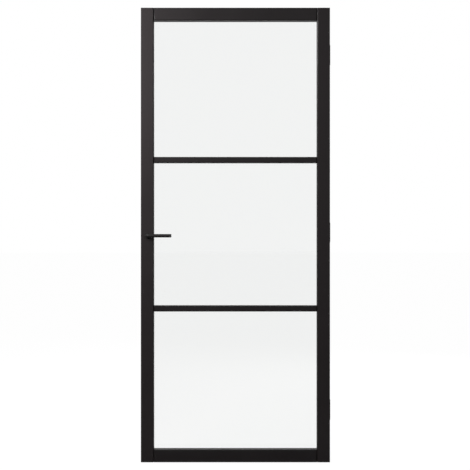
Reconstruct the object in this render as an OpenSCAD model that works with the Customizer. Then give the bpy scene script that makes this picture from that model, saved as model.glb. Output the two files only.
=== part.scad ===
// Glazed interior door leaf with three panes, a lever set on small round
// rosettes, a magnetic latch and three butt hinges. Millimetres, +Z up.
// The front face looks towards -Y and the hinges are on the +X edge.
// The leaf is drawn with its bottom centre at zero, and place() then moves
// the fixing face of the lowest hinge to the origin.

/* [Leaf] */
// Width of the leaf
leaf_w = 880; // [700:1:1100]
// Height of the leaf
leaf_h = 2115; // [1760:1:2540]
// Thickness of the leaf
leaf_t = 40; // [38:1:48]
// Width of each stile, chamfer included
stile_w = 60; // [56:1:90]
// Height of the top and bottom rails, chamfer included
rail_h = 60; // [56:1:120]
// Height of the two glazing bars, chamfers included
bar_h = 28; // [26:1:45]
// Chamfer on every glass-side edge and joint
edge_chamfer = 4; // [2:0.5:5]
// Small arris on the outer edges
arris = 1; // [0.5:0.1:1.5]
// Daylight height of the top pane
top_light_h = 634; // [450:1:700]
// Daylight height of the middle pane
middle_light_h = 664; // [450:1:740]

/* [Glazing] */
// Thickness of the safety glass
glass_t = 5; // [4:0.5:6]
// How far the glass reaches behind its sight line
glass_cover = 7; // [6:0.5:7]
// Width of the rebate and of its bead
rebate_w = 10; // [10:0.5:11]
// Thickness of the front lip that holds the glass
lip_t = 16; // [14:0.5:17]
// Thickness of the glazing tape on each side
tape_t = 1.5; // [1:0.5:2]
// Slack between a bead and its rebate
bead_fit = 0.2; // [0.1:0.1:0.4]
// Distance between two bead pins, about
pin_pitch = 190; // [120:10:300]

/* [Lever set] */
// Height of the lever axis above the bottom of the leaf
lever_z = 1054; // [1000:1:1100]
// Distance from the lock edge to the lever axis
backset = 30; // [29:0.5:32]
// Diameter of the lever bar
lever_d = 16; // [14:0.5:18]
// Length from the lever axis to its tip
lever_reach = 107; // [90:1:130]
// Distance from the leaf to the outside of the grip
lever_out = 50; // [44:1:60]
// Diameter of the rosette
rosette_d = 30; // [29:0.5:34]
// Height of the rosette
rosette_h = 6; // [5:0.5:8]
// Side of the square spindle
spindle_s = 8; // [7:0.5:8]

/* [Latch lock] */
// Depth of the lock case behind the face of the forend
case_depth = 43; // [42:0.5:44]
// Thickness of the lock case
case_t = 14; // [13:0.5:16]
// Length of the forend
forend_l = 150; // [140:1:170]
// Width of the forend
forend_w = 20; // [18:1:22]
// How far the latch bolt comes out
latch_throw = 11; // [8:0.5:11]
// How far the lever turns, in degrees
lever_turn = 35; // [34:1:36]

/* [Hinges] */
// Height of a hinge
hinge_h = 89; // [76:1:102]
// Diameter of a hinge knuckle
knuckle_d = 12; // [11:0.5:13]
// Diameter of a hinge pin
pin_d = 7; // [6:0.5:7.5]
// Thickness of a hinge plate
plate_t = 2.5; // [2:0.25:3]
// Distance from a plate's free edge to the pin axis
plate_reach = 38; // [36:0.5:40]
// Clearance between the leaf and the jamb
jamb_gap = 2; // [1.5:0.25:3]
// Height of the lowest hinge's centre
hinge_low_z = 240; // [180:5:320]
// Distance from the top of the leaf to the highest hinge's centre
hinge_top_drop = 215; // [150:5:320]

/* [Hidden] */
$fn = 64;

// Colours
frame_black = [0.17, 0.155, 0.16];
hardware_black = [0.12, 0.12, 0.125];
tape_black = [0.06, 0.06, 0.06];
glass_tint = [0.86, 0.92, 0.89, 0.35];
zinc = [0.68, 0.69, 0.71];
beech = [0.78, 0.62, 0.42];
nylon_white = [0.9, 0.9, 0.88];

eps = 0.01;
big = 10;
front_y = -leaf_t / 2;
rear_y = leaf_t / 2;
edge_x = leaf_w / 2;
light_w = leaf_w - 2 * stile_w;

// Panes, named from the top: lower sight line and daylight height
bottom_light_h = leaf_h - 2 * rail_h - 2 * bar_h - top_light_h - middle_light_h;
PANES = ["top", "middle", "bottom"];
SIDES = ["head", "right", "sill", "left"];
pane_h = [top_light_h, middle_light_h, bottom_light_h];
pane_z = [
    leaf_h - rail_h - top_light_h,
    rail_h + bottom_light_h + bar_h,
    rail_h
];
bar_upper_z = pane_z[0] - bar_h;
bar_lower_z = pane_z[1] - bar_h;

// Section through the glazing, front to rear
lip_y = front_y + lip_t;
glass_y = lip_y + tape_t;
bead_y = glass_y + glass_t + tape_t;
tape_inset = 0.5;
tape_w = glass_cover - 2 * tape_inset;
edge_gap = rebate_w - glass_cover;
block_l = 60;
block_w = bead_y - lip_y - 1;
brad_d = 1.2;
brad_fit = 0.05;
brad_sunk = 0.5;
brad_into = 3.5;
brad_y = (bead_y + rear_y) / 2;

// Dowels
rail_dowel_d = 10;
rail_dowel_l = 70;
rail_dowel_z = [15, 38];
bar_dowel_d = 8;
bar_dowel_l = 60;
bar_dowel_y = (front_y + lip_y) / 2;
dowel_fit = 0.1;
dowel_end = 1;

// Lever set
lever_x = -edge_x + backset;
lever_r = lever_d / 2;
grip_y = lever_out - lever_r;
bend_r = lever_r + 4;
neck_journal_d = 14;
socket_depth = 24;
square_fit = 0.05;
running_fit = 0.08;
neck_gap = 0.3;
grub_d = 5;
grub_out = rosette_h + 5;
grub_hex_d = 2.9;
grub_hex_deep = 1.8;
tip_chamfer = 1;
bush_t = 1;
base_h = 4.8;
rosette_wall = 1.2;
rosette_chamfer = 1;
rosette_screw_r = 10.9;
rosette_screw_d = 2.6;
rosette_screw_head_d = 5;
rosette_screw_l = 14;
spindle_hole_d = 15;

// Lock, measured from the lever axis
forend_t = 3;
case_wall = 1.5;
case_low = -28;
case_top = 50;
forend_mid = (case_low + case_top) / 2;
follower_r = 9;
follower_half = 2.5;
journal_r = 7;
arm_r = 20;
arm_w = 4;
arm_tip_r = 2.5;
arm_rest = -22;
lug_r = 14;
lug_w = 5;
lug_rest = lever_turn / 2;
post_r = 2;
post_at = 12;
post_angle = lug_rest + asin((lug_w / 2 + post_r + 0.3) / post_at);
follower_wire_d = 0.8;
follower_coil_r = journal_r + 0.9;
spring_touch = 0.05;
lug_leg_r = 12;
post_leg_r = 10.9;
bolt_w = 10;
bolt_low = 14;
bolt_h = 20;
bolt_l = latch_throw + forend_t + case_wall + 0.5;
bolt_fit = 0.15;
tail_low = 24.5;
tail_h = 5;
tail_t = 4;
hook_t = 3;
hook_low = 16.5;
hook_x = arm_r * sin(arm_rest + lever_turn) + arm_tip_r + 0.3;
lug_top = 40;
spring_z = 36;
spring_post_x = -12.5;
spring_post_t = 2.5;
latch_wire_d = 0.6;
latch_coil_r = 2.4;
latch_coils = 6;
magnet_d = 8;
magnet_l = 6;
case_screw_d = 3;
case_screws = [[-20, -21], [7, -21], [-20, 43], [7, 45]];
forend_screw_d = 4;
forend_screw_l = 25;
forend_screw_off = forend_l / 2 - 9;

// Hinges
HINGES = ["top", "middle", "bottom"];
hinge_top_z = leaf_h - hinge_top_drop;
hinge_z = [hinge_top_z, (hinge_top_z + hinge_low_z) / 2, hinge_low_z];
plates_gap = 0.5;
plate_mid_x = edge_x + jamb_gap - plate_t - plates_gap / 2;
knuckle_r = knuckle_d / 2;
pin_y = rear_y + knuckle_r + 0.5;
pin_fit = 0.05;
ring_t = 1.5;
ring_slack = 0.1;
knuckles = 5;
knuckle_l = (hinge_h - (knuckles - 1) * ring_t) / knuckles;
pin_cap_h = 3;
plate_corner_r = 8;
mortise_fit = 0.4;
plate_edge_y = pin_y - plate_reach;
screw_outer = [0, 32];
screw_inner = [10, 11];
jamb_hole_d = 5.2;
leaf_hole_d = 4.8;
hinge_sink_d = 8.8;
hinge_screw_d = 4.4;
hinge_screw_l = 32;
thread_fit = 0.05;

// ---- helpers ----

// Moves the leaf so that the lowest hinge's fixing face is at the origin
module place() {
    translate([-edge_x - jamb_gap, 0, -hinge_low_z]) children();
}

// A cylinder along Y from y0 to y1
module rod_y(r, y0, y1) {
    translate([0, y0, 0]) rotate([-90, 0, 0]) cylinder(r = r, h = y1 - y0);
}

// A cylinder along X from x0 to x1
module rod_x(r, x0, x1) {
    translate([x0, 0, 0]) rotate([0, 90, 0]) cylinder(r = r, h = x1 - x0);
}

// A cone along Y that goes from r0 at y0 to r1 at y1, with y1 above y0
module cone_y(r0, r1, y0, y1) {
    translate([0, y0, 0]) rotate([-90, 0, 0]) cylinder(r1 = r0, r2 = r1, h = y1 - y0);
}

// A box given by its lowest and highest corners
module span(low, high) {
    translate(low) cube(high - low);
}

// Points of a helix round Y, from angle a0 over the given turns
function coil_y(r, a0, turns, y0, y1, steps) = [
    for (i = [0:steps])
        let (a = a0 + 360 * turns * i / steps)
        [r * sin(a), y0 + (y1 - y0) * i / steps, r * cos(a)]
];

// Points of a helix round X
function coil_x(r, turns, x0, x1, steps) = [
    for (i = [0:steps])
        let (a = 360 * turns * i / steps)
        [x0 + (x1 - x0) * i / steps, r * sin(a), r * cos(a)]
];

function unit(v) = v / norm(v);

// Direction of a path at point i
function heading(path, i) =
    unit(path[min(i + 1, len(path) - 1)] - path[max(i - 1, 0)]);

// A round wire along a path, whose rings lean on the axis "up"
module wire(path, d, up, sides = 8) {
    n = len(path);
    points = [
        for (i = [0:n - 1])
            let (t = heading(path, i), e1 = unit(cross(t, up)), e2 = cross(e1, t))
            for (k = [0:sides - 1])
                path[i] + d / 2 * (e1 * cos(360 * k / sides) + e2 * sin(360 * k / sides))
    ];
    skin = [
        for (i = [0:n - 2]) for (k = [0:sides - 1])
            let (a = i * sides + k, b = i * sides + (k + 1) % sides)
            for (face = [[a, a + sides, b + sides], [a, b + sides, b]]) face
    ];
    start_cap = [[for (k = [0:sides - 1]) k]];
    end_cap = [[for (k = [sides - 1:-1:0]) (n - 1) * sides + k]];
    polyhedron(points, concat(skin, start_cap, end_cap), convexity = 10);
}

// ---- leaf ----

// Cross section of a stile: outer edge at x = 0, glass side at x = stile_w
module stile_section() {
    polygon([
        [arris, front_y], [stile_w - edge_chamfer, front_y], [stile_w, front_y + edge_chamfer],
        [stile_w, rear_y - edge_chamfer], [stile_w - edge_chamfer, rear_y], [arris, rear_y],
        [0, rear_y - arris], [0, front_y + arris]
    ]);
}

// A rail or bar between the stiles, with the given edge cuts below and above
module cross_member(h, cut_low, cut_high) {
    half = light_w / 2;
    intersection() {
        rotate([90, 0, 90]) translate([0, 0, -half]) linear_extrude(light_w) polygon([
            [front_y + cut_low, 0], [rear_y - cut_low, 0], [rear_y, cut_low], [rear_y, h - cut_high],
            [rear_y - cut_high, h], [front_y + cut_high, h], [front_y, h - cut_high], [front_y, cut_low]
        ]);
        linear_extrude(h) polygon([
            [-half, front_y + edge_chamfer], [-half + edge_chamfer, front_y],
            [half - edge_chamfer, front_y], [half, front_y + edge_chamfer],
            [half, rear_y - edge_chamfer], [half - edge_chamfer, rear_y],
            [-half + edge_chamfer, rear_y], [-half, rear_y - edge_chamfer]
        ]);
    }
}

// The rebates that all members share, one box for each pane
module rebates() {
    for (i = [0:2])
        span([-light_w / 2 - rebate_w, lip_y, pane_z[i] - rebate_w],
             [light_w / 2 + rebate_w, rear_y + big, pane_z[i] + pane_h[i] + rebate_w]);
}

// Dowels at the joints, or their holes
module dowels(grow = 0, slack = 0) {
    for (side = [-1, 1]) translate([side * light_w / 2, 0, 0]) {
        for (z = rail_dowel_z) for (end_z = [z, leaf_h - z])
            translate([0, 0, end_z])
                rod_x(rail_dowel_d / 2 + grow, -rail_dowel_l / 2 - slack, rail_dowel_l / 2 + slack);
        for (z = [bar_upper_z, bar_lower_z])
            translate([0, bar_dowel_y, z + bar_h / 2])
                rod_x(bar_dowel_d / 2 + grow, -bar_dowel_l / 2 - slack, bar_dowel_l / 2 + slack);
    }
}

// Puts a child on one side of a pane: 0 head, 1 right, 2 sill, 3 left.
// Its local +Z runs from the sight line into the frame.
module on_side(i, side) {
    half = side % 2 == 0 ? pane_h[i] / 2 : light_w / 2;
    translate([0, 0, pane_z[i] + pane_h[i] / 2])
        rotate([0, 90 * side, 0]) translate([0, 0, half]) children();
}

function side_length(i, side) = side % 2 == 0 ? light_w : pane_h[i];

// Pins along one side of a pane, or their holes
module side_pins(i, side, grow = 0) {
    run = side_length(i, side);
    count = max(2, round(run / pin_pitch));
    on_side(i, side)
        for (k = [0:count - 1])
            translate([run * ((k + 0.5) / count - 0.5), brad_y, grow > 0 ? -1 : brad_sunk])
                cylinder(d = brad_d + 2 * grow, $fn = 24,
                         h = rebate_w + brad_into + (grow > 0 ? 1 + grow : -brad_sunk));
}

module all_pins(grow = 0) {
    for (i = [0:2]) for (side = [0:3]) side_pins(i, side, grow);
}

module stile_lock() {
    color(frame_black) difference() {
        translate([-edge_x, 0, 0]) linear_extrude(leaf_h) stile_section();
        rebates();
        dowels(dowel_fit, dowel_end);
        all_pins(brad_fit);
        lock_mortise();
    }
}

module stile_hinge() {
    color(frame_black) difference() {
        translate([edge_x, 0, 0]) mirror([1, 0, 0]) linear_extrude(leaf_h) stile_section();
        rebates();
        dowels(dowel_fit, dowel_end);
        all_pins(brad_fit);
        for (z = hinge_z) translate([0, 0, z]) hinge_mortise();
    }
}

// A cross member at height z, with its rebates, dowel and pin holes
module fitted_member(z, h, cut_low, cut_high) {
    color(frame_black) difference() {
        translate([0, 0, z]) cross_member(h, cut_low, cut_high);
        rebates();
        dowels(dowel_fit, dowel_end);
        all_pins(brad_fit);
    }
}

module rail_top() {
    fitted_member(leaf_h - rail_h, rail_h, edge_chamfer, arris);
}

module rail_bottom() {
    fitted_member(0, rail_h, arris, edge_chamfer);
}

module bar_upper() {
    fitted_member(bar_upper_z, bar_h, edge_chamfer, edge_chamfer);
}

module bar_lower() {
    fitted_member(bar_lower_z, bar_h, edge_chamfer, edge_chamfer);
}

module frame_dowels() {
    color(beech) dowels();
}

// ---- glazing ----

module glass(i) {
    color(glass_tint)
        span([-light_w / 2 - glass_cover, glass_y, pane_z[i] - glass_cover],
             [light_w / 2 + glass_cover, glass_y + glass_t, pane_z[i] + pane_h[i] + glass_cover]);
}

// A frame of tape round the edge of a pane, on its front and on its rear
module glazing_tape(i) {
    outer = tape_inset + tape_w;
    color(tape_black) for (y = [lip_y, glass_y + glass_t]) difference() {
        span([-light_w / 2 - outer, y, pane_z[i] - outer],
             [light_w / 2 + outer, y + tape_t, pane_z[i] + pane_h[i] + outer]);
        span([-light_w / 2 - tape_inset, y - 1, pane_z[i] - tape_inset],
             [light_w / 2 + tape_inset, y + tape_t + 1, pane_z[i] + pane_h[i] + tape_inset]);
    }
}

// One mitred bead, its chamfer facing the pane and the rear
module bead(i, side) {
    half = side_length(i, side) / 2;
    w = rebate_w - bead_fit;
    color(frame_black) difference() {
        on_side(i, side) intersection() {
            rotate([90, 0, 90]) translate([0, 0, -half - w]) linear_extrude(2 * (half + w)) polygon([
                [bead_y, 0], [rear_y - edge_chamfer, 0], [rear_y, edge_chamfer], [rear_y, w], [bead_y, w]
            ]);
            translate([0, rear_y + 1, 0]) rotate([90, 0, 0]) linear_extrude(leaf_t)
                polygon([[-half, 0], [half, 0], [half + w, w], [-half - w, w]]);
        }
        side_pins(i, side, brad_fit);
    }
}

module setting_blocks() {
    color(tape_black) for (i = [0:2]) for (side = [0:3]) on_side(i, side)
        for (at = [-0.25, 0.25])
            translate([side_length(i, side) * at - block_l / 2,
                       (lip_y + bead_y - block_w) / 2, glass_cover])
                cube([block_l, block_w, edge_gap]);
}

module bead_pins() {
    color(zinc) all_pins();
}

// ---- lock ----

// Moves to the lever axis, in the middle of the leaf's thickness
module at_lever() {
    translate([lever_x, 0, lever_z]) children();
}

// A plate in the YZ plane with round ends, from x0 to x1
module round_ended(l, w, x0, x1) {
    span([x0, -w / 2, -l / 2 + w / 2], [x1, w / 2, l / 2 - w / 2]);
    for (s = [-1, 1]) translate([0, 0, s * (l / 2 - w / 2)]) rod_x(w / 2, x0, x1);
}

module lock_mortise() {
    at_lever() {
        span([-backset - 1, -case_t / 2 - mortise_fit, case_low - 1],
             [case_depth - backset + 1, case_t / 2 + mortise_fit, case_top + 1]);
        translate([0, 0, forend_mid])
            round_ended(forend_l + mortise_fit, forend_w + mortise_fit, -backset - 1, forend_t - backset);
        rod_y(spindle_hole_d / 2, front_y - 1, rear_y + 1);
        for (s = [-1, 1]) translate([0, 0, forend_mid + s * forend_screw_off])
            rod_x(forend_screw_d / 2 + thread_fit, -backset, forend_screw_l - backset + 1);
        for (s = [-1, 1]) for (y = [front_y, rear_y - rosette_screw_depth()])
            translate([0, 0, s * rosette_screw_r])
                rod_y(rosette_screw_d / 2 + thread_fit, y - (y < 0 ? 1 : 0),
                      y + rosette_screw_depth() + (y < 0 ? 0 : 1));
    }
}

// How far a rosette screw reaches into the stile
function rosette_screw_depth() = rosette_screw_l - base_h + 0.5;

// The opening for the latch bolt, through forend and case
module bolt_way(x0, x1) {
    span([x0, -bolt_w / 2 - bolt_fit, bolt_low - bolt_fit],
         [x1, bolt_w / 2 + bolt_fit, bolt_low + bolt_h + bolt_fit]);
}

module lock_forend() {
    color(hardware_black) at_lever() difference() {
        translate([0, 0, forend_mid]) round_ended(forend_l, forend_w, -backset, forend_t - backset);
        bolt_way(-backset - 1, forend_t - backset + 1);
        for (s = [-1, 1]) translate([0, 0, forend_mid + s * forend_screw_off]) {
            rod_x(forend_screw_d / 2 + 0.2, -backset - 1, forend_t - backset + 1);
            translate([-backset - eps, 0, 0]) rotate([0, 90, 0])
                cylinder(d1 = 2 * forend_screw_d, d2 = forend_screw_d, h = forend_screw_d / 2);
        }
    }
}

// The case is a tray whose open side faces the rear and is closed by the cover
module lock_case() {
    x0 = forend_t - backset;
    x1 = case_depth - backset;
    inner_y = case_t / 2 - case_wall;
    color(zinc) at_lever() difference() {
        union() {
            difference() {
                span([x0, -case_t / 2, case_low], [x1, inner_y, case_top]);
                span([x0 + case_wall, -inner_y, case_low + case_wall],
                     [x1 - case_wall, inner_y + 1, case_top - case_wall]);
                bolt_way(x0 - 1, x0 + case_wall + 1);
            }
            for (p = case_screws) translate([p[0], 0, p[1]])
                rod_y(case_screw_d, -inner_y - eps, inner_y);
            for (s = [-1, 1])
                translate([s * post_at * sin(post_angle), 0, -post_at * cos(post_angle)])
                    rod_y(post_r, -inner_y - eps, inner_y);
            span([spring_post_x, -inner_y - eps, tail_low + tail_h + 1],
                 [spring_post_x + spring_post_t, tail_t / 2, lug_top]);
        }
        rod_y(journal_r + running_fit, -case_t, 0);
        for (p = case_screws) translate([p[0], 0, p[1]])
            rod_y(case_screw_d / 2 + thread_fit, -inner_y, case_t);
    }
}

module lock_cover() {
    color(zinc) at_lever() difference() {
        span([forend_t - backset, case_t / 2 - case_wall, case_low],
             [case_depth - backset, case_t / 2, case_top]);
        rod_y(journal_r + running_fit, 0, case_t);
        for (p = case_screws) translate([p[0], 0, p[1]]) {
            rod_y(case_screw_d / 2 + 0.1, 0, case_t);
            cone_y(case_screw_d / 2 + 0.1, case_screw_d, case_t / 2 - case_wall + 0.2, case_t / 2 + eps);
        }
    }
}

module lock_case_screws() {
    inner_y = case_t / 2 - case_wall;
    color(zinc) at_lever() for (p = case_screws) translate([p[0], 0, p[1]]) difference() {
        union() {
            rod_y(case_screw_d / 2, 1 - inner_y, case_t / 2 - 0.5);
            cone_y(case_screw_d / 2, case_screw_d - 0.2, inner_y + 0.3, case_t / 2 - 0.05);
        }
        span([-0.4, case_t / 2 - 0.8, -case_screw_d], [0.4, case_t, case_screw_d]);
    }
}

module lock_forend_screws() {
    color(hardware_black) at_lever()
        for (s = [-1, 1]) translate([0, 0, forend_mid + s * forend_screw_off]) difference() {
            union() {
                rod_x(forend_screw_d / 2, -backset + 1, forend_screw_l - backset);
                translate([-backset + 0.1, 0, 0]) rotate([0, 90, 0])
                    cylinder(d1 = 2 * forend_screw_d - 0.4, d2 = forend_screw_d, h = forend_screw_d / 2 - 0.2);
            }
            cross_recess(-backset + 0.1, forend_screw_d * 0.55);
        }
}

// A cross-shaped driver recess cut from x0 along +X
module cross_recess(x0, reach) {
    for (turn = [0, 90]) rotate([turn, 0, 0])
        span([x0 - 1, -reach, -reach / 5], [x0 + reach * 0.7, reach, reach / 5]);
}

module lock_follower() {
    side = spindle_s + 2 * square_fit;
    color(zinc) at_lever() difference() {
        union() {
            rod_y(follower_r, -follower_half, follower_half);
            rod_y(journal_r, -case_t / 2, case_t / 2);
            rotate([0, arm_rest, 0]) {
                span([-arm_w / 2, -follower_half + 0.5, 0], [arm_w / 2, follower_half - 0.5, arm_r]);
                translate([0, 0, arm_r]) rod_y(arm_tip_r, -follower_half + 0.5, follower_half - 0.5);
            }
            rotate([0, -lug_rest, 0]) {
                span([-lug_w / 2, -follower_half, -lug_r], [lug_w / 2, follower_half, 0]);
                span([-lug_w / 2, -follower_half, -lug_r],
                     [lug_w / 2, follower_half + 0.9 + follower_wire_d / 2, -follower_r - 1]);
            }
        }
        span([-side / 2, -case_t, -side / 2], [side / 2, case_t, side / 2]);
    }
}

// A torsion spring round the follower's rear journal. Its first leg bears on
// the lug and its last leg on the post of the case that is nearer the forend
module follower_spring() {
    reach = follower_wire_d / 2 + spring_touch;
    lug_leg = spring_leg(lug_leg_r, 180 - lug_rest + asin((lug_w / 2 + reach) / lug_leg_r));
    near = post_r + reach;
    beside = acos((post_leg_r ^ 2 + post_at ^ 2 - near ^ 2) / (2 * post_leg_r * post_at));
    post_leg = spring_leg(post_leg_r, 180 + post_angle - beside);
    start = lug_leg[0] + acos(follower_coil_r / lug_leg_r);
    end = post_leg[0] - acos(follower_coil_r / post_leg_r) + 720;
    y0 = follower_half + 0.7;
    y1 = case_t / 2 - case_wall - 0.6;
    color(zinc) at_lever() wire(concat(
        [lug_leg[1] + [0, y0, 0]],
        coil_y(follower_coil_r, start, (end - start) / 360, y0, y1, 32),
        [post_leg[1] + [0, y1, 0]]
    ), follower_wire_d, [0, 1, 0]);
}

// The end of a spring leg at radius r: its angle and its place
function spring_leg(r, angle) = [angle, [r * sin(angle), 0, r * cos(angle)]];

module latch_bolt() {
    color(zinc) at_lever() difference() {
        union() {
            span([-backset, -bolt_w / 2, bolt_low], [bolt_l - backset, bolt_w / 2, bolt_low + bolt_h]);
            span([bolt_l - backset - 1, -tail_t / 2, tail_low], [hook_x + hook_t, tail_t / 2, tail_low + tail_h]);
            span([hook_x, -tail_t / 2, hook_low], [hook_x + hook_t, tail_t / 2, lug_top]);
        }
        translate([0, 0, bolt_low + bolt_h / 2])
            rod_x(magnet_d / 2 + thread_fit, -backset - 1, magnet_l - backset);
    }
}

module latch_magnet() {
    color(zinc) at_lever() translate([0, 0, bolt_low + bolt_h / 2])
        rod_x(magnet_d / 2, -backset, magnet_l - backset);
}

// Holds the bolt in when no strike plate draws it out
module latch_spring() {
    x0 = spring_post_x + spring_post_t + latch_wire_d / 2 + spring_touch;
    x1 = hook_x - latch_wire_d / 2 - spring_touch;
    color(zinc) at_lever() translate([0, 0, spring_z])
        wire(coil_x(latch_coil_r, latch_coils, x0, x1, 14 * latch_coils), latch_wire_d, [1, 0, 0], 6);
}

// ---- lever set ----

// Draws a front piece, or its mirror image on the rear
module on_face(rear) {
    at_lever() mirror([0, rear ? 1 : 0, 0]) children();
}

// One lever: a neck, a bend and a bar that points away from the lock edge
module lever(rear) {
    side = spindle_s + 2 * square_fit;
    shoulder_y = front_y - rosette_h - neck_gap;
    bend_y = front_y - grip_y + bend_r;
    color(hardware_black) on_face(rear) difference() {
        union() {
            rod_y(neck_journal_d / 2, shoulder_y - 1, front_y);
            rod_y(lever_r, bend_y, shoulder_y);
            translate([bend_r, bend_y, 0]) rotate([0, 0, 180])
                rotate_extrude(angle = 90) translate([bend_r, 0]) circle(lever_r);
            translate([bend_r, front_y - grip_y, 0]) rotate([0, 90, 0]) rotate_extrude()
                polygon([
                    [0, 0], [lever_r, 0], [lever_r, lever_reach - bend_r - tip_chamfer],
                    [lever_r - tip_chamfer, lever_reach - bend_r], [0, lever_reach - bend_r]
                ]);
        }
        span([-side / 2, front_y - socket_depth, -side / 2], [side / 2, front_y + 1, side / 2]);
        translate([0, front_y - grub_out, -lever_r - 1])
            cylinder(d = grub_d + 2 * thread_fit, h = lever_r + 1 - spindle_s / 2);
    }
}

module spindle() {
    end_y = leaf_t / 2 + socket_depth - 1;
    color(zinc) at_lever() span([-spindle_s / 2, -end_y, -spindle_s / 2], [spindle_s / 2, end_y, spindle_s / 2]);
}

module lever_grub_screws() {
    screw_l = lever_r - spindle_s / 2 - 0.6;
    color(hardware_black) for (rear = [false, true]) on_face(rear)
        translate([0, front_y - grub_out, -spindle_s / 2 - screw_l]) difference() {
            cylinder(d = grub_d, h = screw_l - 0.02);
            translate([0, 0, -1]) cylinder(d = grub_hex_d, h = grub_hex_deep + 1, $fn = 6);
        }
}

// The cover that shows: a shallow cup with a hole for the neck
module rosette(rear) {
    color(hardware_black) on_face(rear) translate([0, front_y, 0]) rotate([90, 0, 0]) rotate_extrude()
        polygon([
            [neck_journal_d / 2 + neck_gap, rosette_h - rosette_wall],
            [neck_journal_d / 2 + neck_gap, rosette_h],
            [rosette_d / 2 - rosette_chamfer, rosette_h], [rosette_d / 2, rosette_h - rosette_chamfer],
            [rosette_d / 2, 0], [rosette_d / 2 - rosette_wall, 0],
            [rosette_d / 2 - rosette_wall, rosette_h - rosette_wall]
        ]);
}

// The fixing disc under the cover, screwed to the stile
module rosette_base(rear) {
    bore_r = neck_journal_d / 2 + running_fit + bush_t + thread_fit;
    color(zinc) on_face(rear) difference() {
        translate([0, front_y, 0]) rotate([90, 0, 0])
            cylinder(r = rosette_d / 2 - rosette_wall - 0.2, h = base_h);
        rod_y(bore_r, front_y - base_h - 1, front_y + 1);
        for (s = [-1, 1]) translate([0, 0, s * rosette_screw_r]) {
            rod_y(rosette_screw_d / 2 + 0.1, front_y - base_h - 1, front_y + 1);
            cone_y(rosette_screw_head_d / 2, rosette_screw_d / 2 + 0.1,
                   front_y - base_h - eps, front_y - base_h + 1.2);
        }
    }
}

module rosette_screws() {
    color(zinc) for (rear = [false, true]) on_face(rear)
        for (s = [-1, 1]) translate([0, 0, s * rosette_screw_r]) difference() {
            top_y = front_y - base_h + 0.05;
            union() {
                rod_y(rosette_screw_d / 2, top_y + 0.5, top_y + rosette_screw_l);
                cone_y(rosette_screw_head_d / 2 - 0.1, rosette_screw_d / 2, top_y, top_y + 1.1);
            }
            for (turn = [0, 90]) rotate([0, turn, 0])
                span([-1.4, top_y - 1, -0.3], [1.4, top_y + 0.8, 0.3]);
        }
}

// Nylon bushes that the lever necks turn in
module lever_bushes() {
    color(nylon_white) for (rear = [false, true]) on_face(rear) difference() {
        rod_y(neck_journal_d / 2 + running_fit + bush_t, front_y - base_h, front_y);
        rod_y(neck_journal_d / 2 + running_fit, front_y - base_h - 1, front_y + 1);
    }
}

// ---- hinges ----

// A plate in the YZ plane from x0 to x1 whose two front corners are round
module hinge_plate_blank(x0, x1, grow = 0) {
    r = plate_corner_r + grow;
    y0 = plate_edge_y - grow;
    half = hinge_h / 2 + grow;
    span([x0, y0 + r, -half], [x1, rear_y + (grow > 0 ? 1 : 0), half]);
    span([x0, y0, -half + r], [x1, y0 + r + eps, half - r]);
    for (s = [-1, 1]) translate([0, y0 + r, s * (half - r)]) rod_x(r, x0, x1);
}

// Screw places on a plate, as [y, z] from the hinge's centre
function plate_screws() = [
    for (row = [screw_outer, screw_inner]) for (s = [-1, 1]) [row[0], s * row[1]]
];

// Bottom of knuckle k, counted from the foot of the hinge
function knuckle_z(k) = -hinge_h / 2 + k * (knuckle_l + ring_t);

// One hinge plate with its knuckles. side is 1 for the jamb and -1 for the
// leaf, whose knuckles are the odd ones
module hinge_plate(z, side) {
    x0 = plate_mid_x + side * (plates_gap / 2 + (side < 0 ? plate_t : 0));
    inner_x = plate_mid_x + side * plates_gap / 2;
    hole_d = side > 0 ? jamb_hole_d : leaf_hole_d;
    color(hardware_black) translate([0, 0, z]) difference() {
        union() {
            hinge_plate_blank(x0, x0 + plate_t);
            for (k = [side > 0 ? 0 : 1:2:knuckles - 1]) {
                span([x0, rear_y - eps, knuckle_z(k)], [x0 + plate_t, pin_y, knuckle_z(k) + knuckle_l]);
                translate([plate_mid_x, pin_y, knuckle_z(k)]) cylinder(r = knuckle_r, h = knuckle_l);
            }
        }
        translate([plate_mid_x, pin_y, -hinge_h])
            cylinder(r = pin_d / 2 + pin_fit, h = 2 * hinge_h);
        for (p = plate_screws()) translate([0, p[0], p[1]]) {
            rod_x(hole_d / 2, x0 - 1, x0 + plate_t + 1);
            translate([inner_x - side * eps, 0, 0]) rotate([0, side * 90, 0])
                cylinder(d1 = hinge_sink_d, d2 = hole_d, h = (hinge_sink_d - hole_d) / 2);
        }
    }
}

module hinge_mortise() {
    hinge_plate_blank(plate_mid_x - plates_gap / 2 - plate_t, edge_x + 1, mortise_fit);
    for (p = plate_screws()) translate([0, p[0], p[1]])
        rod_x(hinge_screw_d / 2 + thread_fit, plate_mid_x - hinge_screw_l - 2, edge_x);
}

module hinge_pin(z) {
    color(hardware_black) translate([plate_mid_x, pin_y, z]) {
        translate([0, 0, -hinge_h / 2]) cylinder(d = pin_d, h = hinge_h);
        for (s = [0, 1]) mirror([0, 0, s]) translate([0, 0, hinge_h / 2])
            cylinder(r1 = knuckle_r - 0.3, r2 = knuckle_r - 1.3, h = pin_cap_h);
    }
}

// The bearing rings between the knuckles of all hinges
module hinge_rings() {
    color(zinc) for (z = hinge_z) for (k = [1:knuckles - 1])
        translate([plate_mid_x, pin_y, z + knuckle_z(k) - ring_t + ring_slack]) difference() {
            cylinder(r = knuckle_r - 0.2, h = ring_t - 2 * ring_slack);
            translate([0, 0, -1]) cylinder(r = pin_d / 2 + pin_fit, h = ring_t + 2);
        }
}

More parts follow.
